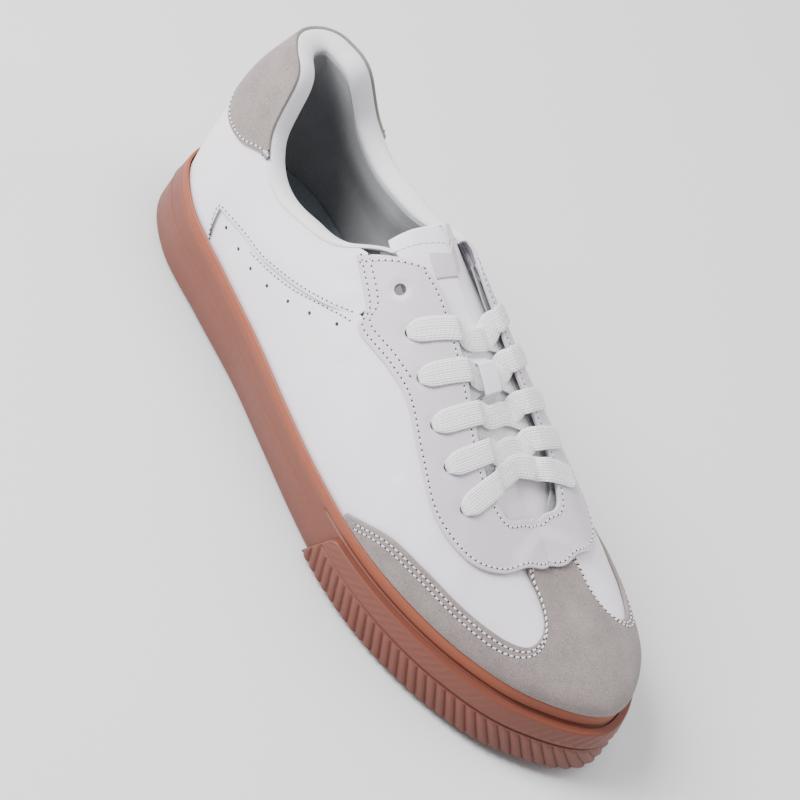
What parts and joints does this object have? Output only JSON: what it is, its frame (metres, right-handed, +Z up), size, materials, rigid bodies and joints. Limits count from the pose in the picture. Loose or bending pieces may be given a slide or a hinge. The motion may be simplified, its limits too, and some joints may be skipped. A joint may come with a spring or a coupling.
{
  "type": "court shoe",
  "caption": "Low-cut right court shoe with padded collar, suede toe cap and heel tab, flat lacing, hinged tongue and a gum rubber cupsole.",
  "frame": {"origin": "middle of the footprint on the ground, under the centre of the shoe's box", "axes": "+X to the toe, +Y to the inner (medial) side, +Z up"},
  "size_m": [0.2909, 0.1106, 0.1046],
  "materials": {
    "gum_rubber": "matte, fine moulded ribs",
    "foam": "open-cell foam",
    "fibre_board": "matt fibre board",
    "footbed_textile": "knitted cover, matt",
    "stiffener": "moulded stiffener sheet",
    "smooth_leather": "smooth grain, soft sheen",
    "suede": "short nap, matt",
    "backing_tape": "woven tape",
    "edge_textile": "soft knit, matt",
    "lining_textile": "brushed knit, matt",
    "lace_weave": "tubular woven polyester, matt",
    "aglet_plastic": "clear film, glossy"
  },
  "bodies": {
    "shoe": {"outsole_cup": "gum_rubber", "forefoot_bumper": "gum_rubber", "tread": "gum_rubber", "midsole": "foam", "insole_board": "fibre_board", "heel_counter": "stiffener", "toe_puff": "stiffener", "vamp": "smooth_leather", "toe_cap": "suede", "collar_panel_lateral": "smooth_leather", "collar_panel_medial": "smooth_leather", "lace_stay": "smooth_leather", "eyelet_backing_lateral": "backing_tape", "eyelet_backing_medial": "backing_tape", "heel_tab": "suede", "collar_foam": "foam", "collar_edge": "edge_textile", "collar_lining": "lining_textile", "quarter_lining_lateral": "lining_textile", "quarter_lining_medial": "lining_textile", "vamp_lining": "lining_textile", "lace": "lace_weave", "lace_tail_lateral": "lace_weave", "lace_tail_medial": "lace_weave"},
    "tongue": {"tongue_outer": "smooth_leather", "tongue_foam": "foam", "tongue_lining": "lining_textile", "tongue_patch": "smooth_leather", "lace_keeper": "smooth_leather"},
    "sockliner": {"sockliner_foam": "foam", "sockliner_cover": "footbed_textile", "aglet_lateral": "aglet_plastic", "aglet_medial": "aglet_plastic"}
  },
  "joints": [
    {"name": "tongue_hinge", "type": "hinge", "parent": "shoe", "child": "tongue", "pos_m": [0.067, 0.003, 0.052], "axis": [0, 1, 0], "range_deg": [-8, 0], "stiffness_Nm_per_rad": 2, "deforming": ["lace"]},
    {"name": "sockliner_lift", "type": "hinge", "parent": "shoe", "child": "sockliner", "pos_m": [0.131, 0.01, 0.018], "axis": [0, 1, 0], "range_deg": [0, 4], "deforming": ["lace_tail_lateral", "lace_tail_medial"]}
  ]
}
